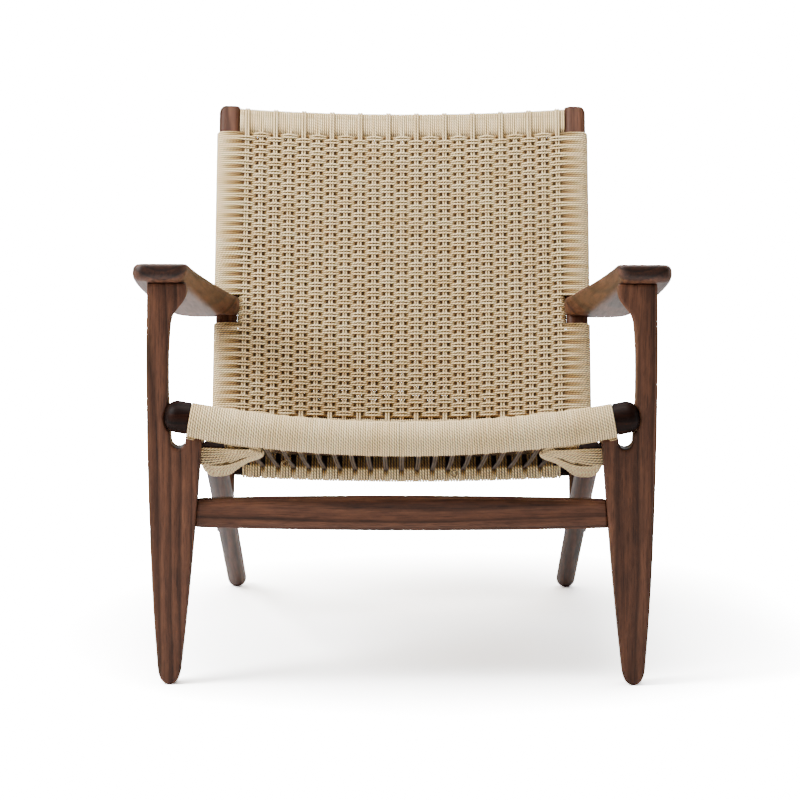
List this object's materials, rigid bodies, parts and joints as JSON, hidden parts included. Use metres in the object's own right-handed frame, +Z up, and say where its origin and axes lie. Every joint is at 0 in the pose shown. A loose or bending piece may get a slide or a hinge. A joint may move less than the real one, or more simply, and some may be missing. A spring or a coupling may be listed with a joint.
{
  "type": "armchair",
  "caption": "Low wooden lounge chair with sculpted front legs, broad falling armrests, and a reclined back and seat woven from twisted paper cord.",
  "frame": {"origin": "on the floor, at the middle of the chair's width and depth", "axes": "+X to the right seen from the front, +Y to the rear, +Z up"},
  "size_m": [0.7098, 0.73, 0.73],
  "materials": {
    "walnut": "oiled, satin",
    "dowel_wood": "plain",
    "paper_cord": "matte"
  },
  "bodies": {
    "root": {"front_leg_left": "walnut", "front_leg_right": "walnut", "armrest_left": "walnut", "armrest_right": "walnut", "rear_leg_left": "walnut", "rear_leg_right": "walnut", "back_post_left": "walnut", "back_post_right": "walnut", "front_stretcher": "walnut", "seat_front_rail": "walnut", "seat_rear_rail": "walnut", "seat_side_rail_left": "walnut", "seat_side_rail_right": "walnut", "back_top_rail": "walnut", "back_bottom_rail": "walnut", "rail_dowels": "dowel_wood", "armrest_front_dowels": "dowel_wood", "armrest_rear_dowels": "dowel_wood", "front_rail_cord": "paper_cord", "rear_rail_cord": "paper_cord", "side_rail_cord_left": "paper_cord", "side_rail_cord_right": "paper_cord", "corner_cord_left": "paper_cord", "corner_cord_right": "paper_cord", "seat_upper_weave": "paper_cord", "seat_under_cords": "paper_cord", "top_rail_cord": "paper_cord", "bottom_rail_cord": "paper_cord", "post_cord_left": "paper_cord", "post_cord_right": "paper_cord", "back_front_weave": "paper_cord", "back_rear_weave": "paper_cord"}
  },
  "joints": []
}
